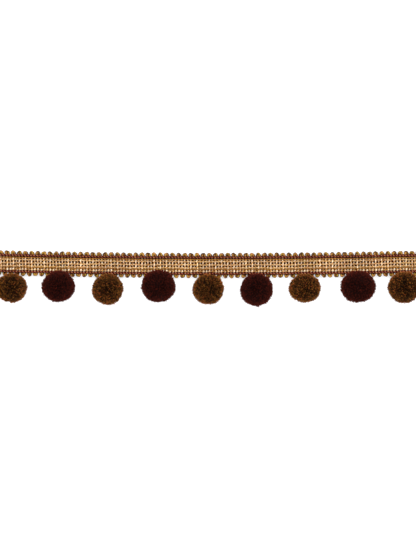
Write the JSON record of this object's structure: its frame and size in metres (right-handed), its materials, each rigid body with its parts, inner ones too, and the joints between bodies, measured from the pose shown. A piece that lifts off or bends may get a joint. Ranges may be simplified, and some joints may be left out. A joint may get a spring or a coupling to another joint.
{
  "type": "pompom fringe trim",
  "caption": "Cut length of woven heading with looped edges and laid cords, with yarn pompoms sewn along its lower edge.",
  "frame": {"origin": "middle of the heading's flat back, halfway along the trim", "axes": "+X runs along the trim, to the right as seen from its face; +Y points from the pompoms to the heading's upper edge; +Z points out of the trim's face, up from the table it lies on"},
  "size_m": [0.2736, 0.0348, 0.0202],
  "materials": {
    "weft": "woven twisted cord, gold and brown",
    "laid_cord": "twisted cord, burgundy",
    "olive_pile": "cut yarn pile, olive brown",
    "burgundy_pile": "cut yarn pile, dark burgundy"
  },
  "bodies": {
    "root": {"heading": "weft", "cord_upper": "laid_cord", "cord_lower": "laid_cord", "pompom_1": "olive_pile", "pompom_2": "burgundy_pile", "pompom_3": "olive_pile", "pompom_4": "burgundy_pile", "pompom_5": "olive_pile", "pompom_6": "burgundy_pile", "pompom_7": "olive_pile", "pompom_8": "burgundy_pile", "pompom_9": "olive_pile"}
  },
  "joints": []
}
